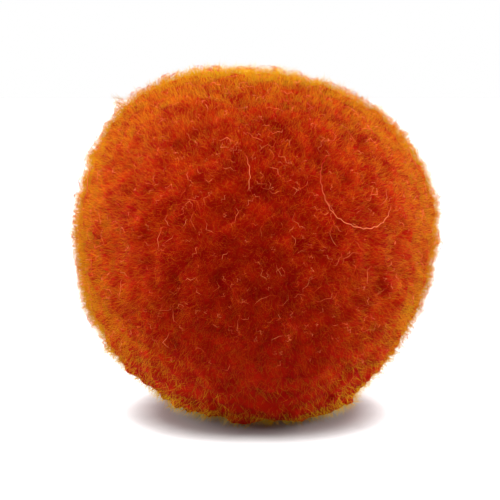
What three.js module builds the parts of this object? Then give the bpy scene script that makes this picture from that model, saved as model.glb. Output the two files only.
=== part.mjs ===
// A round pom pom of dense cut pile, resting on the spot where its weight presses the pile flat.
// Millimetres, +Z up. X is the width seen from the front, Y the depth away from the viewer.
// The origin lies on the resting surface, under the middle of the ball.
import * as THREE from 'three';
import { mergeVertices } from 'three/addons/utils/BufferGeometryUtils.js';

// Overall size of the trimmed ball, out to the tips of the pile.
const BALL_WIDTH = 25.0;
const BALL_DEPTH = 24.8;
const BALL_HEIGHT = 23.7;

// How far the lowest pile gives way, and how far above the surface it is still crowded outwards.
const PRESSED_DEPTH = 1.0;
const CROWDED_HEIGHT = 2.2;
const CROWDED_SPREAD = 0.2;

// 2 is a true ellipsoid. A little more gives the full shoulders that scissors leave on a pom pom.
const SHOULDER_FULLNESS = 2.04;

// Cut tufts leave shallow mounds: their pitch and rise, coarse clumps first, then single tufts.
const CLUMP_PITCH = 6.4;
const CLUMP_RISE = 0.12;
const TUFT_PITCH = 3.3;
const TUFT_RISE = 0.11;

// Each edge of the icosahedron that the ball is made from is cut into this many plus one parts.
const SURFACE_DETAIL = 15;
const SHARED_VERTEX_DISTANCE = 1e-5;

// Where the trimming is uneven. bearing is in degrees from +X towards +Y, height in degrees
// above the middle, spread is the half-width in degrees and rise is in millimetres.
const UNEVEN_TRIM = [
  { place: 'upper left shoulder', bearing: 180, height: 50, spread: 28, rise: 1.0 },
  { place: 'upper right flank', bearing: 0, height: 30, spread: 22, rise: 0.4 },
  { place: 'lower right flank', bearing: 0, height: -26, spread: 24, rise: -0.8 },
  { place: 'dip in the crown', bearing: 10, height: 78, spread: 16, rise: -0.25 },
  { place: 'lower left heel', bearing: 184, height: -58, spread: 22, rise: -0.3 },
  { place: 'front cheek', bearing: 238, height: -12, spread: 24, rise: 0.3 },
  { place: 'front brow', bearing: 290, height: 30, spread: 20, rise: -0.2 },
  { place: 'back hollow', bearing: 76, height: 12, spread: 26, rise: -0.35 },
  { place: 'back shoulder', bearing: 128, height: 34, spread: 24, rise: 0.35 },
  { place: 'back heel', bearing: 60, height: -44, spread: 22, rise: 0.25 },
];

function directionOf({ bearing, height }) {
  const around = THREE.MathUtils.degToRad(bearing);
  const up = THREE.MathUtils.degToRad(height);
  return new THREE.Vector3(
    Math.cos(up) * Math.cos(around),
    Math.cos(up) * Math.sin(around),
    Math.sin(up),
  );
}

const trimSpots = UNEVEN_TRIM.map((spot) => ({
  ...spot,
  direction: directionOf(spot),
  spread: THREE.MathUtils.degToRad(spot.spread),
}));

// Distance from the middle to a superellipsoid's surface.
function trimmedRadius(direction) {
  const halves = [BALL_WIDTH / 2, BALL_DEPTH / 2, (BALL_HEIGHT + PRESSED_DEPTH) / 2];
  const sum = direction
    .toArray()
    .reduce((total, part, axis) => total + Math.abs(part / halves[axis]) ** SHOULDER_FULLNESS, 0);
  return sum ** (-1 / SHOULDER_FULLNESS);
}

// Sum of the soft-edged places where the scissors left more or less pile.
function unevenTrim(direction) {
  return trimSpots.reduce((total, spot) => {
    const apart = direction.angleTo(spot.direction);
    return total + spot.rise * Math.exp(-((apart / spot.spread) ** 2));
  }, 0);
}

// A smooth field of rounded mounds about one pitch apart, between about -1 and 1.
function mounds(point, pitch) {
  const [x, y, z] = point.toArray().map((part) => (2 * Math.PI * part) / pitch);
  const field = Math.sin(x) * Math.cos(y) + Math.sin(y) * Math.cos(z) + Math.sin(z) * Math.cos(x);
  return field / 1.5;
}

function cutTufts(point) {
  const turned = point.clone().applyEuler(new THREE.Euler(0.7, 0.4, 1.1));
  return CLUMP_RISE * mounds(point, CLUMP_PITCH) + TUFT_RISE * mounds(turned, TUFT_PITCH);
}

// Pile under the ball lies flat on the surface, and the pile just above it bulges a little.
function restOnSurface(point, surface) {
  const above = point.z - surface;
  if (above < CROWDED_HEIGHT) {
    const crowding = 1 - Math.max(above, 0) / CROWDED_HEIGHT;
    const across = Math.hypot(point.x, point.y);
    const outwards = 1 + (CROWDED_SPREAD * crowding * (1 - crowding)) / Math.max(across, 1);
    point.x *= outwards;
    point.y *= outwards;
  }
  point.z = Math.max(point.z, surface);
}

// Brings the finished ball to its stated size, with its lowest face at height 0.
function bringToSize(geometry) {
  geometry.computeBoundingBox();
  const box = geometry.boundingBox;
  const size = box.getSize(new THREE.Vector3());
  const middle = box.getCenter(new THREE.Vector3());
  geometry.translate(-middle.x, -middle.y, -box.min.z);
  geometry.scale(BALL_WIDTH / size.x, BALL_DEPTH / size.y, BALL_HEIGHT / size.z);
}

function pileBallGeometry() {
  const rough = new THREE.IcosahedronGeometry(1, SURFACE_DETAIL);
  rough.deleteAttribute('normal');
  rough.deleteAttribute('uv');
  const geometry = mergeVertices(rough, SHARED_VERTEX_DISTANCE);
  const surface = -(BALL_HEIGHT + PRESSED_DEPTH) / 2 + PRESSED_DEPTH;
  const positions = geometry.getAttribute('position');
  const point = new THREE.Vector3();
  for (let i = 0; i < positions.count; i += 1) {
    point.fromBufferAttribute(positions, i).normalize();
    const radius = trimmedRadius(point) + unevenTrim(point);
    point.multiplyScalar(radius);
    point.multiplyScalar(1 + cutTufts(point) / radius);
    restOnSurface(point, surface);
    positions.setXYZ(i, point.x, point.y, point.z);
  }
  bringToSize(geometry);
  geometry.computeVertexNormals();
  return geometry;
}

function pileMaterial() {
  return new THREE.MeshStandardMaterial({ color: 0xb4400e, roughness: 0.95, metalness: 0 });
}

const pileBall = new THREE.Mesh(pileBallGeometry(), pileMaterial());
pileBall.name = 'pile_ball';

const pomPom = new THREE.Group();
pomPom.add(pileBall);

export default pomPom;
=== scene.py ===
"""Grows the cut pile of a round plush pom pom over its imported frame, and stages it on a pale floor."""

import math

import bmesh
import bpy
from bpy.props import FloatProperty, FloatVectorProperty, IntProperty, PointerProperty
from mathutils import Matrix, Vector
from mathutils.bvhtree import BVHTree


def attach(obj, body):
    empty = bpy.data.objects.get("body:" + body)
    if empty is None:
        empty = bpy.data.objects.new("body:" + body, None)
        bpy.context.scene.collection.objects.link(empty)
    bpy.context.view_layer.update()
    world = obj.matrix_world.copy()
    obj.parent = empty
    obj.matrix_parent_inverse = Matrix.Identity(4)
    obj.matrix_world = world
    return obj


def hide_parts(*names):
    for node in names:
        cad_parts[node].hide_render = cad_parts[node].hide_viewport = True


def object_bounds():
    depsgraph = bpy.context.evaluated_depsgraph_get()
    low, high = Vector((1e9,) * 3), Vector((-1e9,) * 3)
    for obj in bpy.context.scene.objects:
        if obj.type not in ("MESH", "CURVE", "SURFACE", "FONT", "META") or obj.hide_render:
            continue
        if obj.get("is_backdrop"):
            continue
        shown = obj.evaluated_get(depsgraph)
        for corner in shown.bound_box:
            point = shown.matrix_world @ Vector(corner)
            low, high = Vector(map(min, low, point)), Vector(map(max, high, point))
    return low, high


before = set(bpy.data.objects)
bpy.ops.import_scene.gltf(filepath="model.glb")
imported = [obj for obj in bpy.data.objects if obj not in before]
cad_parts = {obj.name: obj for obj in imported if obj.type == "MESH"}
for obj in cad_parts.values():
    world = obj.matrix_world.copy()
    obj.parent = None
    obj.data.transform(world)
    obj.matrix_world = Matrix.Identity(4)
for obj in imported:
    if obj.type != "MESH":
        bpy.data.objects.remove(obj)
CAD_LOW, CAD_HIGH = (corner.copy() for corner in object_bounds())

bl_info = {
    "name": "Plush pom pom",
    "version": (1, 0, 0),
    "blender": (4, 5, 0),
    "location": "3D View > Sidebar > Pom pom",
    "description": "Makes a round pom pom of dense dyed pile over its packed frame",
    "category": "Object",
}

PILE_NODE = "pile_ball"
BODY = "root"

MM = 0.001
BALL_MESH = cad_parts[PILE_NODE].data
BALL_SURFACE = BVHTree.FromPolygons(
    [vertex.co for vertex in BALL_MESH.vertices],
    [tuple(face.vertices) for face in BALL_MESH.polygons],
)
BALL_MIDDLE = (CAD_LOW + CAD_HIGH) / 2
FLOOR_HEIGHT = CAD_LOW.z

# The map that every strand carries: shade across it, and root to tip along it.
STRAND_MAP = "OFBake"
STRAND_SIDES = 3
MAP_MARGIN = 0.02
MAP_SIDE_WIDTH = 0.006
TIP_MERGE = 5e-7

# The fuzz is gone below the first of these heights and full above the second. Painted shade: the lower
# side keeps none of the fuzz's paler colour, so it stays darker and redder. -1 is under the ball and 1 on
# top.
BALD_HEIGHT = -0.75
THICK_HEIGHT = -0.2

# Up to this height the pile's own weight splays it outwards, and this far at the floor.
SPLAY_HEIGHT = 2.2 * MM
SPLAY = 0.7 * MM

# Single tufts that the scissors missed. bearing is in degrees from +X towards +Y, height in degrees up,
# rise and reach in millimetres.
STRAY_TUFTS = [
    {"bearing": 181, "height": 45, "rise": 0.65, "reach": 1.0},
    {"bearing": 2, "height": 8, "rise": 0.3, "reach": 0.8},
    {"bearing": 182, "height": -37, "rise": 0.45, "reach": 1.6},
    {"bearing": 64, "height": 30, "rise": 0.5, "reach": 0.7},
    {"bearing": 120, "height": -8, "rise": 0.4, "reach": 0.8},
    {"bearing": 95, "height": 72, "rise": 0.35, "reach": 0.8},
    {"bearing": 30, "height": -30, "rise": 0.4, "reach": 0.7},
]

# The part of a stray tuft that stands at its full rise, and how far its strands draw together at their
# tips, as a share of the way to its middle.
STRAY_CORE = 0.1 * MM
STRAY_GATHER = 0.78

# How far noise moves the tufts' borders, as a share of their pitch, how many lumps of it there are to a
# pitch, how much the tufts' heights differ, as a share of their rise, and how round a tuft looks.
TUFT_UNEVENNESS = 0.8
TUFT_CLOUD_FINENESS = 1.3
TUFT_VARIATION = 0.5
TUFT_ROUNDNESS = 0.6

# The highest a tuft's middle stands, as a share of the tufts' rise.
TUFT_TOP = 0.5

# Size of the paler and darker patches of the pile, and how fine the matted fibres at the roots are.
BLOTCH_PITCH = 1.3 * MM
MATTED_PITCH = 0.16 * MM

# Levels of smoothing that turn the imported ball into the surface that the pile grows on.
SURFACE_LEVELS = 1
SURFACE_MERGE = 0.001 * MM

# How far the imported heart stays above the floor.
HEART_CLEARANCE = 0.05 * MM

WHITE = (1, 1, 1, 1)


def linear(red, green, blue):
    """A colour written in screen values from 0 to 255, as the linear values that materials use."""
    parts = []
    for part in (red, green, blue):
        share = part / 255
        parts.append(share / 12.92 if share <= 0.04045 else ((share + 0.055) / 1.055) ** 2.4)
    return tuple(parts)


def length_property(name, description, default):
    return FloatProperty(
        name=name,
        description=description,
        default=default,
        min=0,
        unit="LENGTH",
        subtype="DISTANCE",
        precision=5,
    )


def colour_property(name, description, default):
    return FloatVectorProperty(
        name=name, description=description, default=default, min=0, max=1, subtype="COLOR"
    )


class PomPomPile(bpy.types.PropertyGroup):
    core_depth: length_property("Core depth", "Depth of the packed heart below the tips", 0.45 * MM)
    strand_length: length_property("Strand length", "From the heart to a strand's tip", 1.2 * MM)
    strand_radius: length_property("Strand radius", "Half a strand's thickness at its root", 0.018 * MM)
    tuft_pitch: length_property("Tuft pitch", "Distance between neighbouring tufts", 0.95 * MM)
    tuft_rise: length_property("Tuft rise", "How far tufts stand out above the partings", 0.5 * MM)
    crimp_size: length_property("Crimp size", "How far a strand's crimp swings to each side", 0.13 * MM)
    crimp_pitch: length_property("Crimp pitch", "Length of one wave of the crimp", 0.7 * MM)
    strands: IntProperty(name="Strands", description="Strands in a usual layer", default=8600, min=1)
    loose_strands: IntProperty(
        name="Loose strands", description="Strands on the surface", default=3000, min=1
    )


# Root is darker than the body: painted shade at the foot of the pile. Deep is partly darker patches of
# the dye
# and partly painted shade in the partings. Tip, glowing, fuzz and fuzz tip are paler and more golden:
# painted
# light, as if light shines through the thin ends. Loose is pale: a painted highlight on the loose
# strands.
class PomPomDye(bpy.types.PropertyGroup):
    root: colour_property("Root", "Colour at the foot of a strand", linear(160, 8, 2))
    deep: colour_property("Deep", "Colour of the strands in the partings", linear(160, 8, 2))
    body: colour_property("Body", "Colour of the strands on the tufts", linear(197, 29, 2))
    tip: colour_property("Tip", "Colour at the end of a strand", linear(218, 68, 5))
    glowing: colour_property("Bleached tip", "Palest ends of the strands", linear(242, 100, 10))
    fuzz: colour_property("Fuzz", "Colour of the finest strands, above the pile", linear(250, 108, 5))
    fuzz_tip: colour_property("Fuzz tip", "Colour at the end of the finest strands", linear(254, 168, 12))
    loose: colour_property("Loose strand", "Colour of the strands on the surface", linear(252, 130, 82))


class PomPomStage(bpy.types.PropertyGroup):
    lens: FloatProperty(name="Lens", description="Focal length", default=100.0, min=1, unit="CAMERA")
    camera_height: FloatProperty(
        name="Camera height",
        description="Angle above the horizon",
        default=math.radians(7),
        subtype="ANGLE",
    )
    sky_light: FloatProperty(name="Sky light", description="Light from all round", default=0.17, min=0)
    lamp_light: FloatProperty(name="Lamp light", description="Strength of the lamps", default=1.15, min=0)


class Field:
    """A number or a vector inside a node tree, so that a tree can be written as formulas."""

    def __init__(self, socket):
        self.socket = socket

    def __add__(self, other):
        return combine("ADD", self, other)

    def __radd__(self, other):
        return combine("ADD", other, self)

    def __sub__(self, other):
        return combine("SUBTRACT", self, other)

    def __rsub__(self, other):
        return combine("SUBTRACT", other, self)

    def __mul__(self, other):
        return combine("MULTIPLY", self, other)

    def __rmul__(self, other):
        return combine("MULTIPLY", other, self)

    def __truediv__(self, other):
        return combine("DIVIDE", self, other)

    def __pow__(self, other):
        return combine("POWER", self, other)


def is_vector(value):
    if isinstance(value, Field):
        return value.socket.type in {"VECTOR", "RGBA"}
    return isinstance(value, (tuple, Vector))


def feed(socket, value):
    """Links a field to a socket, or writes a plain value into it."""
    if isinstance(value, Field):
        socket.id_data.links.new(value.socket, socket)
    else:
        socket.default_value = value


def socket_called(sockets, name):
    """The socket in use of that name, because a node keeps one for each type of value."""
    return next(socket for socket in sockets if socket.name == name and socket.enabled)


def place(tree, kind, sockets=None, **settings):
    """Adds a node to a tree, sets it up and feeds its sockets by name."""
    node = tree.nodes.new(kind)
    for name, value in settings.items():
        setattr(node, name, value)
    for name, value in (sockets or {}).items():
        feed(socket_called(node.inputs, name), value)
    return node


def out(node, name):
    return Field(socket_called(node.outputs, name))


def tree_of(*values):
    return next(value.socket.id_data for value in values if isinstance(value, Field))


def number(operation, *values):
    node = place(tree_of(*values), "ShaderNodeMath", operation=operation)
    for socket, value in zip(node.inputs, values):
        feed(socket, value)
    return Field(node.outputs[0])


def vector(operation, *values):
    node = place(tree_of(*values), "ShaderNodeVectorMath", operation=operation)
    for socket, value in zip([s for s in node.inputs if s.enabled], values):
        feed(socket, value)
    return Field(next(socket for socket in node.outputs if socket.enabled))


def combine(operation, first, second):
    if operation == "MULTIPLY" and is_vector(first) != is_vector(second):
        along, factor = (first, second) if is_vector(first) else (second, first)
        return vector("SCALE", along, factor)
    if is_vector(first) or is_vector(second):
        return vector(operation, first, second)
    return number(operation, first, second)


def between(value, low, high, new_low=0.0, new_high=1.0, smooth=False):
    """A value brought from one range into another, and held inside it."""
    node = place(
        tree_of(value),
        "ShaderNodeMapRange",
        {"Value": value, "From Min": low, "From Max": high, "To Min": new_low, "To Max": new_high},
        interpolation_type="SMOOTHSTEP" if smooth else "LINEAR",
    )
    return Field(node.outputs["Result"])


def noise(place_in, pitch, detail):
    """Cloudy noise from about 0 to 1, with lumps of about that pitch."""
    sockets = {"Vector": place_in, "Scale": 1 / pitch, "Detail": detail}
    return out(place(tree_of(place_in), "ShaderNodeTexNoise", sockets), "Fac")


def new_tree(name, inputs):
    """A geometry node tree that takes a mesh and named sizes, and gives a mesh back."""
    tree = bpy.data.node_groups.new(name, "GeometryNodeTree")
    tree.interface.new_socket("Geometry", in_out="INPUT", socket_type="NodeSocketGeometry")
    tree.interface.new_socket("Geometry", in_out="OUTPUT", socket_type="NodeSocketGeometry")
    for label, kind in inputs:
        tree.interface.new_socket(label, in_out="INPUT", socket_type="NodeSocket" + kind)
    given = tree.nodes.new("NodeGroupInput")
    result = tree.nodes.new("NodeGroupOutput")
    return tree, (lambda label: Field(given.outputs[label])), result


def random_number(tree, owner, seed, low=0.0, high=1.0):
    """One number for each owner, from low to high."""
    sockets = {"Min": low, "Max": high, "ID": owner, "Seed": seed}
    return out(place(tree, "FunctionNodeRandomValue", sockets, data_type="FLOAT"), "Value")


def random_arrow(tree, owner, seed):
    """One vector for each owner, with each part from -1 to 1."""
    node = place(
        tree,
        "FunctionNodeRandomValue",
        {"Min": (-1.0, -1.0, -1.0), "Max": (1.0, 1.0, 1.0), "ID": owner, "Seed": seed},
        data_type="FLOAT_VECTOR",
    )
    return out(node, "Value")


def capture(tree, geometry, fields):
    """Keeps fields on a geometry by name, so that later nodes read what they were there."""
    node = tree.nodes.new("GeometryNodeCaptureAttribute")
    kinds = {"VECTOR": "VECTOR", "VALUE": "FLOAT", "INT": "INT"}
    for label, field in fields.items():
        node.capture_items.new(kinds[field.socket.type], label)
    feed(node.inputs["Geometry"], geometry)
    for label, field in fields.items():
        feed(node.inputs[label], field)
    return Field(node.outputs["Geometry"]), {label: Field(node.outputs[label]) for label in fields}


def seeded_points(tree, surface, given):
    """Points spread over the pile's surface, each with its place, its outward direction and its number.

    They thin out below the ball, where "Bald Below" is 1, as painted shade that leaves the lower side
    darker.
    """
    where = out(place(tree, "GeometryNodeInputPosition"), "Position")
    radial = vector("NORMALIZE", where - tuple(BALL_MIDDLE))
    height = out(place(tree, "ShaderNodeSeparateXYZ", {"Vector": radial}), "Z")
    covered = 1 - given("Bald Below") * between(height, BALD_HEIGHT, THICK_HEIGHT, 1.0, 0.0, smooth=True)
    spread = place(
        tree,
        "GeometryNodeDistributePointsOnFaces",
        {"Mesh": surface, "Density": given("Density") * covered, "Seed": given("Seed")},
        distribute_method="RANDOM",
    )
    outward = vector("NORMALIZE", out(spread, "Normal") + radial)
    index = out(place(tree, "GeometryNodeInputIndex"), "Index")
    fields = {"tip": where, "outward": outward, "strand": index}
    points, kept = capture(tree, out(spread, "Points"), fields)
    return points, kept["tip"], kept["outward"], kept["strand"]


def strand_lines(tree, points, count):
    """One line of that many control points for each point, and how far along its strand each one is."""
    ends = {"Start": (0.0, 0.0, 0.0), "End": (0.0, 0.0, MM)}
    line = place(tree, "GeometryNodeCurvePrimitiveLine", ends)
    line = place(tree, "GeometryNodeResampleCurve", {"Curve": out(line, "Curve"), "Count": count})
    sockets = {"Points": points, "Instance": out(line, "Curve")}
    lines = place(tree, "GeometryNodeInstanceOnPoints", sockets)
    lines = place(tree, "GeometryNodeRealizeInstances", {"Geometry": out(lines, "Instances")})
    factor = out(place(tree, "GeometryNodeSplineParameter"), "Factor")
    lines, kept = capture(tree, out(lines, "Geometry"), {"along": factor})
    return lines, kept["along"]


def finish_tree(tree, geometry, given, result):
    """Ends a tree with a real mesh that wears the given material."""
    whole = place(tree, "GeometryNodeRealizeInstances", {"Geometry": geometry})
    sockets = {"Geometry": out(whole, "Geometry"), "Material": given("Material")}
    worn = place(tree, "GeometryNodeSetMaterial", sockets)
    feed(result.inputs["Geometry"], out(worn, "Geometry"))


def strand_skins(tree, lines, radius, along, shade, outward, given, result):
    """Gives the lines a thickness down to a point, a map and the material, and ends the tree."""
    ring = place(tree, "GeometryNodeCurvePrimitiveCircle", {"Resolution": STRAND_SIDES, "Radius": 1.0})
    corner = out(place(tree, "GeometryNodeInputIndex"), "Index")
    ring, kept = capture(tree, out(ring, "Curve"), {"corner": corner})
    sockets = {"Curve": lines, "Profile Curve": ring, "Scale": radius, "Fill Caps": True}
    skins = place(tree, "GeometryNodeCurveToMesh", sockets)
    room = 1 - 2 * MAP_MARGIN
    across = MAP_MARGIN + shade * (room - STRAND_SIDES * MAP_SIDE_WIDTH) + kept["corner"] * MAP_SIDE_WIDTH
    place_on_map = place(tree, "ShaderNodeCombineXYZ", {"X": across, "Y": MAP_MARGIN + along * room})
    mapped = place(
        tree,
        "GeometryNodeStoreNamedAttribute",
        {"Geometry": out(skins, "Mesh"), "Name": STRAND_MAP, "Value": out(place_on_map, "Vector")},
        data_type="FLOAT2",
        domain="CORNER",
    )
    sockets = {"Geometry": out(mapped, "Geometry"), "Distance": TIP_MERGE}
    pointed = place(tree, "GeometryNodeMergeByDistance", sockets)
    smooth = place(tree, "GeometryNodeSetShadeSmooth", {"Geometry": out(pointed, "Geometry")})
    own = out(place(tree, "GeometryNodeInputNormal"), "Normal")
    softened = vector("NORMALIZE", own * (1 - given("Softness")) + outward * given("Softness"))
    soft = tree.nodes.new("GeometryNodeSetMeshNormal")
    soft.mode = "FREE"
    soft.domain = "POINT"
    feed(soft.inputs["Mesh"], out(smooth, "Geometry"))
    feed(soft.inputs["Custom Normal"], softened)
    finish_tree(tree, out(soft, "Mesh"), given, result)


def above_floor(position, clearance):
    """The same position, kept that clearance above the floor, where the pressed pile splays outwards."""
    tree = tree_of(position)
    parts = place(tree, "ShaderNodeSeparateXYZ", {"Vector": position})
    height = number("MAXIMUM", out(parts, "Z"), clearance + FLOOR_HEIGHT)
    level = (position - tuple(BALL_MIDDLE)) * (1.0, 1.0, 0.0)
    splay = between(height, FLOOR_HEIGHT, FLOOR_HEIGHT + SPLAY_HEIGHT, SPLAY, 0.0, smooth=True)
    splay = splay * between(vector("LENGTH", level), 0.0, SPLAY_HEIGHT)
    splayed = position + vector("NORMALIZE", level) * splay
    parts = place(tree, "ShaderNodeSeparateXYZ", {"Vector": splayed})
    sockets = {"X": out(parts, "X"), "Y": out(parts, "Y"), "Z": height}
    return out(place(tree, "ShaderNodeCombineXYZ", sockets), "Vector")


def tufts(position, pitch):
    """The way from a position to the middle of its tuft, and how high the pile stands there.

    The height runs from about 0.5 on a tuft to below 0 in a parting. A little noise keeps tufts uneven.
    """
    tree = tree_of(position)
    scale = number("DIVIDE", 1.0, pitch)
    fineness = scale * TUFT_CLOUD_FINENESS
    cloud = place(tree, "ShaderNodeTexNoise", {"Vector": position, "Scale": fineness, "Detail": 1.0})
    uneven = position + (out(cloud, "Color") - (0.5, 0.5, 0.5)) * (pitch * TUFT_UNEVENNESS)
    cell = place(tree, "ShaderNodeTexVoronoi", {"Vector": uneven, "Scale": scale}, feature="F1")
    own = out(place(tree, "ShaderNodeSeparateXYZ", {"Vector": out(cell, "Color")}), "X")
    mound = TUFT_TOP - out(cell, "Distance") + (own - 0.5) * TUFT_VARIATION
    return out(cell, "Position") - uneven, mound


def direction_of(bearing, height):
    """The direction from the ball's middle at that bearing and height, both in degrees."""
    around = math.radians(bearing)
    up = math.radians(height)
    return Vector((math.cos(up) * math.cos(around), math.cos(up) * math.sin(around), math.sin(up)))


def surface_point(direction):
    """Where a ray from the ball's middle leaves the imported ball."""
    point = BALL_SURFACE.ray_cast(BALL_MIDDLE, direction)[0]
    if point is None:
        raise RuntimeError("the ball's surface was missed")
    return point


def stray_tufts(position):
    """How far tufts that were cut too long make the pile stand out there, and how it gathers there."""
    rise = 0.0
    gather = (0.0, 0.0, 0.0)
    for tuft in STRAY_TUFTS:
        middle = tuple(surface_point(direction_of(tuft["bearing"], tuft["height"])))
        away = vector("DISTANCE", position, middle)
        nearness = between(away, STRAY_CORE, tuft["reach"] * MM, 1.0, 0.0, smooth=True)
        rise = rise + nearness * (tuft["rise"] * MM)
        gather = gather + (middle - position) * (nearness * STRAY_GATHER)
    return rise, gather


PILE_INPUTS = [
    ("Density", "Float"),
    ("Bald Below", "Float"),
    ("Seed", "Int"),
    ("Points", "Int"),
    ("Length", "Float"),
    ("Radius", "Float"),
    ("Lean", "Float"),
    ("Crimp Size", "Float"),
    ("Crimp Pitch", "Float"),
    ("Tuft Pitch", "Float"),
    ("Tuft Rise", "Float"),
    ("Tuft Pull", "Float"),
    ("Proud", "Float"),
    ("Unevenness", "Float"),
    ("Softness", "Float"),
    ("Material", "Material"),
]


# Seeds of the numbers that make each strand of the pile its own.
PILE_SEEDS = {
    "heading": 1,
    "length": 2,
    "height": 3,
    "lean": 4,
    "waves": 5,
    "swing": 6,
    "first wave": 7,
    "second wave": 8,
    "shade": 9,
}

# The lowest and the highest share of the usual value that a strand of the pile has.
PILE_LENGTHS = (0.8, 1.15)
PILE_LEANS = (0.2, 1.0)
PILE_WAVES = (0.75, 1.3)
PILE_SWINGS = (0.4, 1.2)

# How many waves across the crimp there are for each wave along it, so that the crimp is not flat.
SECOND_WAVE = 1.31

# What makes a strand pale: a number of its own, the patch it stands in and its height on the tuft. The
# last is painted shade and light, darker in the partings and paler on top of the tufts. The pairs are the
# lowest and highest value that count.
OWN_PALENESS = 0.15
PATCH_PALENESS = 0.5
PATCH_RANGE = (0.3, 0.7)
MOUND_PAINTED_SHADE = 0.35
MOUND_PAINTED_SHADE_RANGE = (-0.2, 0.35)


def pile_tree():
    """Crimped strands that stand on the ball, lean over at their tips and gather in tufts."""
    tree, given, result = new_tree("cut_pile", PILE_INPUTS)
    points, tip, outward, strand = seeded_points(tree, given("Geometry"), given)
    lines, along = strand_lines(tree, points, given("Points"))

    towards, mound = tufts(tip, given("Tuft Pitch"))
    towards = towards - outward * vector("DOT_PRODUCT", towards, outward)
    roundness = number("DIVIDE", TUFT_ROUNDNESS, given("Tuft Pitch"))
    rounded = vector("NORMALIZE", outward - towards * roundness)

    heading = random_arrow(tree, strand, PILE_SEEDS["heading"])
    side = vector("NORMALIZE", vector("CROSS_PRODUCT", outward, heading))
    across = vector("CROSS_PRODUCT", outward, side)

    length = given("Length") * random_number(tree, strand, PILE_SEEDS["length"], *PILE_LENGTHS)
    uneven = given("Unevenness") * random_number(tree, strand, PILE_SEEDS["height"], -1.0, 1.0)
    uneven = uneven + given("Tuft Rise") * mound
    stray_rise, stray_gather = stray_tufts(tip)
    height = length * (along - 1.0) + given("Proud") + uneven + stray_rise

    bend = length * given("Lean") * random_number(tree, strand, PILE_SEEDS["lean"], *PILE_LEANS)
    bend = bend * along * along
    waves = length / given("Crimp Pitch") * random_number(tree, strand, PILE_SEEDS["waves"], *PILE_WAVES)
    swing = given("Crimp Size") * random_number(tree, strand, PILE_SEEDS["swing"], *PILE_SWINGS) * along
    first_start = random_number(tree, strand, PILE_SEEDS["first wave"])
    first = number("SINE", (waves * along + first_start) * math.tau)
    second_start = random_number(tree, strand, PILE_SEEDS["second wave"])
    second = number("SINE", (waves * along * SECOND_WAVE + second_start) * math.tau)

    offset = outward * height + side * (bend + swing * first) + across * (swing * second)
    pulled = (towards * given("Tuft Pull") + stray_gather) * (along * along)
    radius = given("Radius") * (1 - along * along * along)
    position = above_floor(tip + offset + pulled, radius)
    moved = place(tree, "GeometryNodeSetPosition", {"Geometry": lines, "Position": position})

    blotch = noise(tip, BLOTCH_PITCH, 2.0)
    shade = random_number(tree, strand, PILE_SEEDS["shade"]) * OWN_PALENESS
    shade = shade + between(blotch, *PATCH_RANGE) * PATCH_PALENESS
    # Painted shade and light: darker strands in the partings, paler ones on top of the tufts.
    shade = shade + between(mound, *MOUND_PAINTED_SHADE_RANGE) * MOUND_PAINTED_SHADE
    strand_skins(tree, out(moved, "Geometry"), radius, along, shade, rounded, given, result)
    return tree


LOOSE_INPUTS = [
    ("Density", "Float"),
    ("Bald Below", "Float"),
    ("Seed", "Int"),
    ("Points", "Int"),
    ("Length", "Float"),
    ("Radius", "Float"),
    ("Curl Radius", "Float"),
    ("Lift", "Float"),
    ("Tuft Pitch", "Float"),
    ("Tuft Rise", "Float"),
    ("Softness", "Float"),
    ("Material", "Material"),
]


# Seeds of the numbers that make each loose strand its own.
LOOSE_SEEDS = {
    "heading": 11,
    "length": 12,
    "curl": 13,
    "wobble": 14,
    "height": 15,
    "radius": 16,
    "shade": 17,
}

# A loose strand is at least this share of the usual length, and a few are longer by up to the second.
LOOSE_SHORTEST = 0.5
LOOSE_LONGER = 1.8

# The lowest and the highest share of the usual curl and thickness that a loose strand has.
LOOSE_CURLS = (0.35, 2.2)
LOOSE_RADII = (0.7, 1.1)

# Waves of a loose strand from side to side, how far its middle arches above its ends, how deep its ends
# are tucked in and how much its height varies. All but the waves are shares of the usual lift.
LOOSE_WAVES = 2.3
LOOSE_ARCH = 2.0
LOOSE_TUCK = 1.3
LOOSE_HEIGHTS = (-0.5, 0.5)


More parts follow.
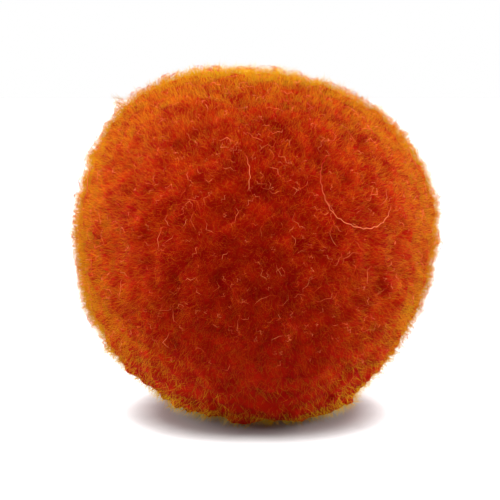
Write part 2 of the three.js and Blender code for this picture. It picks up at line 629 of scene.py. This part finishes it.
def loose_tree():
    """Curled strands that lie along the surface of the pile, with their ends tucked into it."""
    tree, given, result = new_tree("loose_strands", LOOSE_INPUTS)
    points, tip, outward, strand = seeded_points(tree, given("Geometry"), given)
    lines, along = strand_lines(tree, points, given("Points"))

    heading = random_arrow(tree, strand, LOOSE_SEEDS["heading"])
    side = vector("NORMALIZE", vector("CROSS_PRODUCT", outward, heading))
    across = vector("CROSS_PRODUCT", outward, side)

    share = random_number(tree, strand, LOOSE_SEEDS["length"])
    length = given("Length") * (LOOSE_SHORTEST + share**4 * LOOSE_LONGER)
    curl = given("Curl Radius") * random_number(tree, strand, LOOSE_SEEDS["curl"], *LOOSE_CURLS)
    turned = length * (along - 0.5) / curl
    run = number("SINE", turned) * curl
    rise = (1 - number("COSINE", turned)) * curl
    start = random_number(tree, strand, LOOSE_SEEDS["wobble"])
    wobble = given("Lift") * number("SINE", (along * LOOSE_WAVES + start) * math.tau)
    laid = tip + side * run + across * (rise + wobble)

    skin = place(tree, "GeometryNodeProximity", {"Geometry": given("Geometry"), "Sample Position": laid})
    skin.target_element = "FACES"
    arch = 1 - (along * 2 - 1) ** 4
    on_tufts = given("Tuft Rise") * tufts(laid, given("Tuft Pitch"))[1]
    own_height = random_number(tree, strand, LOOSE_SEEDS["height"], *LOOSE_HEIGHTS)
    height = given("Lift") * (arch * LOOSE_ARCH - LOOSE_TUCK + own_height) + on_tufts
    radius = given("Radius") * arch * random_number(tree, strand, LOOSE_SEEDS["radius"], *LOOSE_RADII)
    position = above_floor(out(skin, "Position") + outward * height, radius)
    moved = place(tree, "GeometryNodeSetPosition", {"Geometry": lines, "Position": position})
    shade = random_number(tree, strand, LOOSE_SEEDS["shade"])
    strand_skins(tree, out(moved, "Geometry"), radius, along, shade, outward, given, result)
    return tree


# The shade of the palest strand of all. The long strands have it, and their pale colour is a painted
# highlight.
PALEST_SHADE = 1.0

LONG_INPUTS = [
    ("Radius", "Float"),
    ("Softness", "Float"),
    ("Material", "Material"),
]


def long_tree():
    """Gives drawn lines a strand's thickness."""
    tree, given, result = new_tree("long_strands", LONG_INPUTS)
    lines = place(tree, "GeometryNodeMeshToCurve", {"Mesh": given("Geometry")})
    factor = out(place(tree, "GeometryNodeSplineParameter"), "Factor")
    where = out(place(tree, "GeometryNodeInputPosition"), "Position")
    outward = vector("NORMALIZE", where - tuple(BALL_MIDDLE))
    lines, kept = capture(tree, out(lines, "Curve"), {"along": factor, "outward": outward})
    along = kept["along"]
    radius = given("Radius") * (1 - (along * 2 - 1) ** 8)
    strand_skins(tree, lines, radius, along, PALEST_SHADE, kept["outward"], given, result)
    return tree


CORE_INPUTS = [
    ("Depth", "Float"),
    ("Tuft Pitch", "Float"),
    ("Tuft Rise", "Float"),
    ("Material", "Material"),
]


def core_tree():
    """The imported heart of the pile: the ball's shape drawn inwards, and lumpy where tufts stand."""
    tree, given, result = new_tree("pile_heart", CORE_INPUTS)
    where = out(place(tree, "GeometryNodeInputPosition"), "Position")
    normal = out(place(tree, "GeometryNodeInputNormal"), "Normal")
    mound = tufts(where, given("Tuft Pitch"))[1]
    drawn_in = where + normal * (given("Tuft Rise") * mound - given("Depth"))
    position = above_floor(drawn_in, HEART_CLEARANCE)
    moved = place(tree, "GeometryNodeSetPosition", {"Geometry": given("Geometry"), "Position": position})
    smooth = place(tree, "GeometryNodeSetShadeSmooth", {"Geometry": out(moved, "Geometry")})
    finish_tree(tree, out(smooth, "Geometry"), given, result)
    return tree


def trimmed_surface():
    """The outline of the pile's tips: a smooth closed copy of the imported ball."""
    shape = bmesh.new()
    shape.from_mesh(BALL_MESH)
    bmesh.ops.remove_doubles(shape, verts=shape.verts, dist=SURFACE_MERGE)
    mesh = bpy.data.meshes.new("trimmed_surface")
    shape.to_mesh(mesh)
    shape.free()
    mesh.materials.clear()
    ball = bpy.data.objects.new("trimmed_surface", mesh)
    bpy.context.scene.collection.objects.link(ball)
    smoother = ball.modifiers.new("smooth", "SUBSURF")
    smoother.levels = SURFACE_LEVELS
    smoother.render_levels = SURFACE_LEVELS
    surface = plain_mesh(ball, "trimmed_surface")
    bpy.data.objects.remove(ball)
    for name in [layer.name for layer in surface.uv_layers]:
        surface.uv_layers.remove(surface.uv_layers[name])
    return surface


def plain_mesh(piece, name):
    """What a piece's modifiers make of it, as a mesh of its own."""
    bpy.context.view_layer.update()
    graph = bpy.context.evaluated_depsgraph_get()
    mesh = bpy.data.meshes.new_from_object(piece.evaluated_get(graph), depsgraph=graph)
    mesh.name = name
    return mesh


def grow(name, surface, tree, sizes):
    """Runs a node tree on the pile's surface, and hands the result to the frame as a plain piece."""
    piece = bpy.data.objects.new(name, surface.copy())
    bpy.context.scene.collection.objects.link(piece)
    modifier = piece.modifiers.new(tree.name, "NODES")
    modifier.node_group = tree
    inputs = [item for item in tree.interface.items_tree if item.in_out == "INPUT"]
    identifiers = {item.name: item.identifier for item in inputs}
    for label, value in sizes.items():
        modifier[identifiers[label]] = value
    mesh = plain_mesh(piece, name)
    if not mesh.polygons:
        raise RuntimeError(f"{name} came out empty")
    piece.modifiers.clear()
    piece.data = mesh
    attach(piece, BODY)
    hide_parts(PILE_NODE)


def area_of(mesh):
    return sum(face.area for face in mesh.polygons)


def mixed(tree, factor, first, second):
    node = place(tree, "ShaderNodeMix", data_type="RGBA")
    feed(socket_called(node.inputs, "Factor"), factor)
    feed(socket_called(node.inputs, "A"), first)
    feed(socket_called(node.inputs, "B"), second)
    return out(node, "Result")


# Where along a strand each colour gives way to the next: 0 is the root and 1 the tip. The darker root is
# painted shade, the paler tip and glowing end painted light. A pale strand is further on by up to half
# the shift, and a deep one as far behind.
SHADE_SHIFT = 0.16
ROOT_TO_BODY = (0.15, 0.62)
BODY_TO_TIP = (0.62, 0.92)
TIP_TO_GLOWING = (0.86, 1.02)

# From which shade a strand's body turns pale and its end takes the glowing colour, painted light: 0 is
# the deepest, 1 the palest.
DEEP_TO_PALE = (0.15, 0.85)
GLOWING_SHADES = (0.35, 0.95)

# Roughness of the deepest and of the palest strand.
STRAND_ROUGHNESS = (0.72, 0.9)


def dye_group():
    """A strand's colour and roughness by how far along and how pale it is, with painted shade and light.
    """
    tree = bpy.data.node_groups.new("dyed_strand", "ShaderNodeTree")
    for label, kind in (
        ("Along", "NodeSocketFloat"),
        ("Shade", "NodeSocketFloat"),
        ("Root", "NodeSocketColor"),
        ("Deep", "NodeSocketColor"),
        ("Body", "NodeSocketColor"),
        ("Tip", "NodeSocketColor"),
        ("Glowing", "NodeSocketColor"),
    ):
        tree.interface.new_socket(label, in_out="INPUT", socket_type=kind)
    tree.interface.new_socket("Color", in_out="OUTPUT", socket_type="NodeSocketColor")
    tree.interface.new_socket("Roughness", in_out="OUTPUT", socket_type="NodeSocketFloat")
    given = tree.nodes.new("NodeGroupInput")
    result = tree.nodes.new("NodeGroupOutput")
    along = Field(given.outputs["Along"])
    shade = Field(given.outputs["Shade"])
    above = along + (shade - 0.5) * SHADE_SHIFT
    deep = Field(given.outputs["Deep"])
    body = mixed(tree, between(shade, *DEEP_TO_PALE), deep, Field(given.outputs["Body"]))
    # Painted shade: the root colour, darker than the body, at the foot of the strand.
    colour = mixed(tree, between(above, *ROOT_TO_BODY), Field(given.outputs["Root"]), body)
    # Painted light: the tip and then the glowing colour, paler than the body, at the end of the strand.
    colour = mixed(tree, between(above, *BODY_TO_TIP), colour, Field(given.outputs["Tip"]))
    pale = between(above, *TIP_TO_GLOWING) * between(shade, *GLOWING_SHADES)
    colour = mixed(tree, pale, colour, Field(given.outputs["Glowing"]))
    feed(result.inputs["Color"], colour)
    feed(result.inputs["Roughness"], between(shade, 0.0, 1.0, *STRAND_ROUGHNESS))
    return tree


def principled(name, sheen=0.0, sheen_tint=(1, 1, 1), sheen_roughness=0.5, specular=0.05):
    """A new material, its tree and its shader."""
    material = bpy.data.materials.new(name)
    material.use_nodes = True
    tree = material.node_tree
    shader = tree.nodes["Principled BSDF"]
    shader.inputs["Specular IOR Level"].default_value = specular
    shader.inputs["Sheen Weight"].default_value = sheen
    shader.inputs["Sheen Roughness"].default_value = sheen_roughness
    shader.inputs["Sheen Tint"].default_value = (*sheen_tint, 1)
    return material, tree, shader


def strand_colours(root, deep, body, tip, glowing):
    """The inputs of the dye group, by name."""
    return {"Root": root, "Deep": deep, "Body": body, "Tip": tip, "Glowing": glowing}


def strand_material(name, group, colours, **finish):
    """Dyed acrylic, coloured by each strand's own map."""
    material, tree, shader = principled(name, **finish)
    strand_map = place(tree, "ShaderNodeUVMap", uv_map=STRAND_MAP)
    parts = place(tree, "ShaderNodeSeparateXYZ", {"Vector": out(strand_map, "UV")})
    dye = tree.nodes.new("ShaderNodeGroup")
    dye.node_tree = group
    feed(dye.inputs["Shade"], between(out(parts, "X"), MAP_MARGIN, 1 - MAP_MARGIN))
    feed(dye.inputs["Along"], between(out(parts, "Y"), MAP_MARGIN, 1 - MAP_MARGIN))
    for label, colour in colours.items():
        feed(dye.inputs[label], (*colour, 1))
    feed(shader.inputs["Base Color"], out(dye, "Color"))
    feed(shader.inputs["Roughness"], out(dye, "Roughness"))
    return material


# The values of noise between which the roots turn from deep to pale, and from gaps to matted fibres.
PATCH_NOISE = (0.35, 0.7)
GAP_NOISE = (0.35, 0.6)

# The gaps have the roots' colour times the first number, mixed in by the second: painted shade between
# the matted fibres.
GAP_PAINTED_SHADE = 0.6
GAP_SHARE = 0.2
FIBRE_NOISE = (0.3, 0.7)
FIBRE_ROUGHNESS = (0.8, 0.95)
RELIEF_STRENGTH = 0.4
RELIEF_HEIGHT = 0.1 * MM


def heart_material(dye):
    """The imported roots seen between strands: deep red, mottled, with the relief of matted fibres."""
    material, tree, shader = principled("matted_roots")
    where = out(place(tree, "ShaderNodeTexCoord"), "Object")
    blotch = noise(where, BLOTCH_PITCH, 3.0)
    matted = noise(where, MATTED_PITCH, 2.0)
    colour = mixed(tree, between(blotch, *PATCH_NOISE), (*dye.deep, 1), (*dye.body, 1))
    # Painted shade: the gaps between the matted fibres darker than the roots.
    painted_gap_shade = (*[GAP_PAINTED_SHADE * part for part in dye.root], 1)
    colour = mixed(tree, between(matted, *GAP_NOISE, GAP_SHARE, 0.0), colour, painted_gap_shade)
    feed(shader.inputs["Base Color"], colour)
    feed(shader.inputs["Roughness"], between(matted, *FIBRE_NOISE, *FIBRE_ROUGHNESS))
    sockets = {"Height": matted, "Strength": RELIEF_STRENGTH, "Distance": RELIEF_HEIGHT}
    relief = place(tree, "ShaderNodeBump", sockets)
    feed(shader.inputs["Normal"], out(relief, "Normal"))
    return material


class POMPOM_OT_heart(bpy.types.Operator):
    """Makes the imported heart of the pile"""

    bl_idname = "pompom.heart"
    bl_label = "Make the heart of the pile"

    def execute(self, context):
        pile = context.scene.pompom_pile
        sizes = {
            "Depth": pile.core_depth,
            "Tuft Pitch": pile.tuft_pitch,
            "Tuft Rise": pile.tuft_rise,
            "Material": heart_material(context.scene.pompom_dye),
        }
        grow("pile_heart", trimmed_surface(), core_tree(), sizes)
        return {"FINISHED"}


# Layers of strands. length is a share of the usual strand, lean is how far a strand bends over, as a
# share of its length, share is how many strands there are for each usual one, and proud is how far they
# stand above the pile, in millimetres.
PILE_LAYERS = [
    {"name": "cut_pile_a", "seed": 3, "points": 3, "length": 0.9, "lean": 0.9, "share": 1.2},
    {"name": "cut_pile_b", "seed": 17, "points": 4, "length": 0.95, "lean": 0.9, "share": 1.4},
    {"name": "cut_pile_c", "seed": 41, "points": 6, "length": 1.1, "lean": 0.9, "share": 0.45},
]
FUZZ_LAYERS = [
    {"name": "fuzz_a", "seed": 61, "points": 2, "proud": 0.2, "lean": 0.6, "share": 5.6},
    {"name": "fuzz_b", "seed": 71, "points": 2, "proud": 0.15, "lean": 0.9, "share": 5.6},
    {"name": "fuzz_c", "seed": 67, "points": 3, "proud": 0.3, "lean": 0.7, "share": 1.6},
]
TUFT_PULL = 0.3
PILE_SOFTNESS = 0.9
PILE_UNEVENNESS = 0.1 * MM
FUZZ_UNEVENNESS = 0.12 * MM
FUZZ_LENGTH = 0.7 * MM
FUZZ_RADIUS = 0.009 * MM
FUZZ_CRIMP = 0.03 * MM
PILE_FINISH = {"sheen": 1.0, "sheen_tint": (1.0, 0.68, 0.02), "sheen_roughness": 0.5}
FUZZ_FINISH = {"sheen": 1.0, "sheen_tint": (1.0, 0.78, 0.02), "sheen_roughness": 0.5}


class POMPOM_OT_pile(bpy.types.Operator):
    """Grows the crimped strands of the cut pile"""

    bl_idname = "pompom.pile"
    bl_label = "Grow the pile"

    def execute(self, context):
        pile = context.scene.pompom_pile
        dye = context.scene.pompom_dye
        surface = trimmed_surface()
        tree = pile_tree()
        group = dye_group()
        colours = strand_colours(dye.root, dye.deep, dye.body, dye.tip, dye.glowing)
        common = {
            "Crimp Pitch": pile.crimp_pitch,
            "Tuft Pitch": pile.tuft_pitch,
            "Tuft Rise": pile.tuft_rise,
            "Tuft Pull": TUFT_PULL,
            "Softness": PILE_SOFTNESS,
        }
        material = strand_material("dyed_acrylic_pile", group, colours, **PILE_FINISH)
        for layer in PILE_LAYERS:
            sizes = {
                "Density": pile.strands * layer["share"] / area_of(surface),
                "Seed": layer["seed"],
                "Points": layer["points"],
                "Length": pile.strand_length * layer["length"],
                "Radius": pile.strand_radius,
                "Lean": layer["lean"],
                "Crimp Size": pile.crimp_size,
                "Bald Below": 0.0,
                "Proud": 0.0,
                "Unevenness": PILE_UNEVENNESS,
                "Material": material,
            }
            grow(layer["name"], surface, tree, {**common, **sizes})
        # Painted light: the fuzz is paler and more golden than the pile, as if light shines through the
        # finest strands.
        colours = strand_colours(dye.root, dye.tip, dye.glowing, dye.fuzz, dye.fuzz_tip)
        material = strand_material("dyed_acrylic_fuzz", group, colours, **FUZZ_FINISH)
        for layer in FUZZ_LAYERS:
            sizes = {
                "Density": pile.strands * layer["share"] / area_of(surface),
                "Seed": layer["seed"],
                "Points": layer["points"],
                "Length": FUZZ_LENGTH,
                "Radius": FUZZ_RADIUS,
                "Lean": layer["lean"],
                "Crimp Size": FUZZ_CRIMP,
                "Bald Below": 1.0,
                "Proud": layer["proud"] * MM,
                "Unevenness": FUZZ_UNEVENNESS,
                "Material": material,
            }
            grow(layer["name"], surface, tree, {**common, **sizes})
        return {"FINISHED"}


LOOSE_SEED = 57
LOOSE_POINTS = 6
LOOSE_LENGTH = 0.9 * MM
LOOSE_RADIUS = 0.016 * MM
LOOSE_CURL = 0.6 * MM
LOOSE_LIFT = 0.1 * MM
LOOSE_SOFTNESS = 0.1


class POMPOM_OT_loose(bpy.types.Operator):
    """Lays the curled loose strands over the pile"""

    bl_idname = "pompom.loose"
    bl_label = "Lay the loose strands"

    def execute(self, context):
        pile = context.scene.pompom_pile
        dye = context.scene.pompom_dye
        surface = trimmed_surface()
        # The loose strands are paler than the pile: a painted highlight.
        colours = strand_colours(dye.body, dye.tip, dye.loose, dye.loose, dye.loose)
        material = strand_material("loose_strand_painted_highlight", bpy.data.node_groups["dyed_strand"], colours)
        sizes = {
            "Density": pile.loose_strands / area_of(surface),
            "Bald Below": 1.0,
            "Seed": LOOSE_SEED,
            "Points": LOOSE_POINTS,
            "Length": LOOSE_LENGTH,
            "Radius": LOOSE_RADIUS,
            "Curl Radius": LOOSE_CURL,
            "Lift": LOOSE_LIFT,
            "Tuft Pitch": pile.tuft_pitch,
            "Tuft Rise": pile.tuft_rise,
            "Softness": LOOSE_SOFTNESS,
            "Material": material,
        }
        grow("loose_strands", surface, loose_tree(), sizes)
        return {"FINISHED"}


def seen_white(tree):
    """1 where the camera or a mirror-like surface looks, and 0 where light is gathered."""
    path = place(tree, "ShaderNodeLightPath")
    seen = number("MAXIMUM", out(path, "Is Camera Ray"), out(path, "Is Glossy Ray"))
    return number("MAXIMUM", seen, out(path, "Is Transmission Ray"))


def make_world(strength):
    world = bpy.data.worlds.new("studio")
    world.use_nodes = True
    tree = world.node_tree
    backdrop = tree.nodes["Background"]
    backdrop.inputs["Color"].default_value = WHITE
    feed(backdrop.inputs["Strength"], between(seen_white(tree), 0.0, 1.0, strength, 1.0))
    bpy.context.scene.world = world


# The floor's colour to the camera and to the light that it sends back to the ball.
FLOOR_COLOUR = (0.42, 0.42, 0.42, 1)
FLOOR_BOUNCE = (0.15, 0.15, 0.15, 1)

# Half the floor's width in metres, and how strongly the open floor is lifted towards white.
FLOOR_REACH = 1.5
FLOOR_LIFT = 0.9

# How far from the ball the contact shadow reaches, and how open the floor is where the shadow is deepest
# and where it ends. It is partly cast by the lamps and partly painted, where the floor's lift is held
# back.
SHADOW_REACH = 3 * MM
SHADOW_OPENNESS = (0.35, 0.95)


def make_floor():
    """A wide pale floor, white where open, with a soft ball shadow, partly cast and partly painted."""
    mesh = bpy.data.meshes.new("floor")
    signs = [(-1, -1), (1, -1), (1, 1), (-1, 1)]
    corners = [(x * FLOOR_REACH, y * FLOOR_REACH, FLOOR_HEIGHT) for x, y in signs]
    mesh.from_pydata(corners, [], [(0, 1, 2, 3)])
    floor = bpy.data.objects.new("floor", mesh)
    bpy.context.scene.collection.objects.link(floor)
    material, tree, shader = principled("pale_floor", specular=0.0)
    feed(shader.inputs["Base Color"], mixed(tree, seen_white(tree), FLOOR_BOUNCE, FLOOR_COLOUR))
    shader.inputs["Roughness"].default_value = 1
    shader.inputs["Emission Color"].default_value = WHITE
    # Painted shadow: near the ball the ambient occlusion holds back the floor's lift towards white.
    nearness = place(tree, "ShaderNodeAmbientOcclusion", {"Distance": SHADOW_REACH})
    open_share = between(out(nearness, "AO"), *SHADOW_OPENNESS)
    feed(shader.inputs["Emission Strength"], seen_white(tree) * open_share * FLOOR_LIFT)
    mesh.materials.append(material)
    floor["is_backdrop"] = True


LAMP_WIDTH = math.radians(50)
LAMPS = {
    "top_light": {"towards": (0.0, 0.0, 1.0), "share": 0.74},
    "left_light": {"towards": (-1.0, 0.15, 0.2), "share": 1.48},
    "right_light": {"towards": (1.0, 0.15, 0.2), "share": 1.48},
    "back_light": {"towards": (0.0, 1.0, 0.5), "share": 0.15},
}

# The light of the table under the ball: its width in metres and its strength as a share of full white.
TABLE_WIDTH = 0.4
TABLE_LIFT = 0.01 * MM
TABLE_SHARE = 0.6

# Under the ball the table gives this share of its light, up to the first of these distances, and all of
# it past the second.
SHADED_SHARE = 0.15
SHADED_REACH = 4 * MM
OPEN_REACH = 14 * MM


def make_lamp(name, towards, share):
    """A soft far lamp that lights a white face turned to it to that share of full white."""
    data = bpy.data.lights.new(name, "SUN")
    data.angle = LAMP_WIDTH
    data.energy = share * math.pi
    lamp = bpy.data.objects.new(name, data)
    bpy.context.scene.collection.objects.link(lamp)
    lamp.rotation_mode = "QUATERNION"
    lamp.rotation_quaternion = Vector(towards).to_track_quat("Z", "Y")


def make_table_light(strength):
    """A wide lamp on the floor that shines up as a white table would, and less under the ball."""
    data = bpy.data.lights.new("table_light", "AREA")
    data.shape = "DISK"
    data.size = TABLE_WIDTH
    disk_area = math.pi * (TABLE_WIDTH / 2) ** 2
    data.energy = strength * math.pi * disk_area
    data.use_nodes = True
    tree = data.node_tree
    away = vector("LENGTH", out(place(tree, "ShaderNodeNewGeometry"), "Position"))
    bright = between(away, SHADED_REACH, OPEN_REACH, SHADED_SHARE, 1.0, smooth=True)
    feed(tree.nodes["Emission"].inputs["Strength"], bright)
    lamp = bpy.data.objects.new("table_light", data)
    bpy.context.scene.collection.objects.link(lamp)
    lamp.location = (0, 0, FLOOR_HEIGHT + TABLE_LIFT)
    lamp.rotation_mode = "QUATERNION"
    lamp.rotation_quaternion = Vector((0, 0, 1)).to_track_quat("-Z", "Y")
    lamp.visible_camera = False


SENSOR_WIDTH = 36
CLIP_RANGE = (0.001, 10)

# The ball's share of the picture's width, and how far to the left of the ball's middle and below it the
# camera aims.
BALL_SHARE = 0.736
AIM_LEFT = 0.33 * MM
AIM_DOWN = 0.67 * MM


def make_camera(stage):
    """A camera in front of the ball and a little above it."""
    data = bpy.data.cameras.new("camera")
    data.lens = stage.lens
    data.sensor_width = SENSOR_WIDTH
    data.clip_start, data.clip_end = CLIP_RANGE
    camera = bpy.data.objects.new("camera", data)
    bpy.context.scene.collection.objects.link(camera)
    half_angle = math.atan(BALL_SHARE * data.sensor_width / 2 / data.lens)
    distance = (CAD_HIGH.x - CAD_LOW.x) / 2 / math.sin(half_angle)
    back = Vector((0, -math.cos(stage.camera_height), math.sin(stage.camera_height)))
    upright = Vector((0, math.sin(stage.camera_height), math.cos(stage.camera_height)))
    aim = BALL_MIDDLE - Vector((AIM_LEFT, 0, 0)) - upright * AIM_DOWN
    camera.location = aim + back * distance
    camera.rotation_mode = "QUATERNION"
    camera.rotation_quaternion = (-back).to_track_quat("-Z", "Y")
    bpy.context.scene.camera = camera


# Long strands that have worked loose. Each starts at a bearing and height, runs off at a heading from
# level, and turns by that many degrees for each millimetre. Lengths are in millimetres.
LONG_STRANDS = [
    {"bearing": 298, "height": 33, "heading": 205, "turning": 21, "length": 10.2},
    {"bearing": 266, "height": 33, "heading": -60, "turning": -16, "length": 2.6},
    {"bearing": 118, "height": 22, "heading": 30, "turning": 14, "length": 4.0},
    {"bearing": 28, "height": -6, "heading": 100, "turning": -12, "length": 3.6},
    {"bearing": 200, "height": 12, "heading": 60, "turning": 18, "length": 3.0},
]

# A long strand's points are this far apart, it lies this high on the pile, and it wobbles this far to
# each side, all in millimetres. Each point is that many radians further along the wobble.
LONG_STEP = 0.22
LONG_LIFT = 0.12
LONG_WOBBLE = 0.05
LONG_WOBBLE_STEP = 2.3
LONG_RADIUS = 0.026 * MM
LONG_SOFTNESS = 0.4


def long_line(strand):
    """Points of one long strand, laid over the ball, with its ends tucked into the pile."""
    outward = direction_of(strand["bearing"], strand["height"])
    east = Vector((0, 0, 1)).cross(outward).normalized()
    heading = math.radians(strand["heading"])
    forward = east * math.cos(heading) + outward.cross(east) * math.sin(heading)
    steps = round(strand["length"] / LONG_STEP)
    radius = (surface_point(outward) - BALL_MIDDLE).length
    points = []
    for step in range(steps + 1):
        tucked = 1 - (2 * step / steps - 1) ** 6
        wobble = LONG_WOBBLE * math.sin(LONG_WOBBLE_STEP * step + strand["bearing"])
        sideways = outward.cross(forward)
        surface = surface_point((outward + sideways * (wobble * MM / radius)).normalized())
        points.append(surface + outward * (LONG_LIFT * (2 * tucked - 1) * MM))
        turn = math.radians(strand["turning"] * LONG_STEP)
        forward = forward * math.cos(turn) + sideways * math.sin(turn)
        outward = (outward + forward * (LONG_STEP * MM / radius)).normalized()
        forward = (forward - outward * forward.dot(outward)).normalized()
    return points


class POMPOM_OT_long(bpy.types.Operator):
    """Lays a few long loose strands over the pile"""

    bl_idname = "pompom.long"
    bl_label = "Lay the long strands"

    def execute(self, context):
        vertices = []
        edges = []
        for strand in LONG_STRANDS:
            points = long_line(strand)
            first = len(vertices)
            vertices.extend(points)
            edges.extend((first + step, first + step + 1) for step in range(len(points) - 1))
        lines = bpy.data.meshes.new("long_strand_lines")
        lines.from_pydata(vertices, edges, [])
        sizes = {
            "Radius": LONG_RADIUS,
            "Softness": LONG_SOFTNESS,
            "Material": bpy.data.materials["loose_strand_painted_highlight"],
        }
        grow("long_strands", lines, long_tree(), sizes)
        return {"FINISHED"}


class POMPOM_OT_stage(bpy.types.Operator):
    """Sets up the floor, the light and the camera"""

    bl_idname = "pompom.stage"
    bl_label = "Set the stage"

    def execute(self, context):
        stage = context.scene.pompom_stage
        make_world(stage.sky_light)
        make_floor()
        for name, lamp in LAMPS.items():
            make_lamp(name, lamp["towards"], lamp["share"] * stage.lamp_light)
        make_table_light(TABLE_SHARE)
        make_camera(stage)
        context.scene.view_settings.view_transform = "Standard"
        return {"FINISHED"}


class POMPOM_PT_panel(bpy.types.Panel):
    bl_idname = "POMPOM_PT_panel"
    bl_label = "Pom pom"
    bl_space_type = "VIEW_3D"
    bl_region_type = "UI"
    bl_category = "Pom pom"

    def draw(self, context):
        for group in (context.scene.pompom_pile, context.scene.pompom_dye, context.scene.pompom_stage):
            box = self.layout.box()
            for name in group.bl_rna.properties.keys():
                if name not in {"rna_type", "name"}:
                    box.prop(group, name)
        for operator in OPERATORS:
            self.layout.operator(operator.bl_idname)


GROUPS = (PomPomPile, PomPomDye, PomPomStage)
OPERATORS = (POMPOM_OT_heart, POMPOM_OT_pile, POMPOM_OT_loose, POMPOM_OT_long, POMPOM_OT_stage)


def register():
    for kind in (*GROUPS, *OPERATORS, POMPOM_PT_panel):
        bpy.utils.register_class(kind)
    bpy.types.Scene.pompom_pile = PointerProperty(type=PomPomPile)
    bpy.types.Scene.pompom_dye = PointerProperty(type=PomPomDye)
    bpy.types.Scene.pompom_stage = PointerProperty(type=PomPomStage)


def unregister():
    del bpy.types.Scene.pompom_pile
    del bpy.types.Scene.pompom_dye
    del bpy.types.Scene.pompom_stage
    for kind in reversed((*GROUPS, *OPERATORS, POMPOM_PT_panel)):
        bpy.utils.unregister_class(kind)


def main():
    register()
    bpy.ops.pompom.heart()
    bpy.ops.pompom.pile()
    bpy.ops.pompom.loose()
    bpy.ops.pompom.long()
    bpy.ops.pompom.stage()


if __name__ == "__main__":
    main()
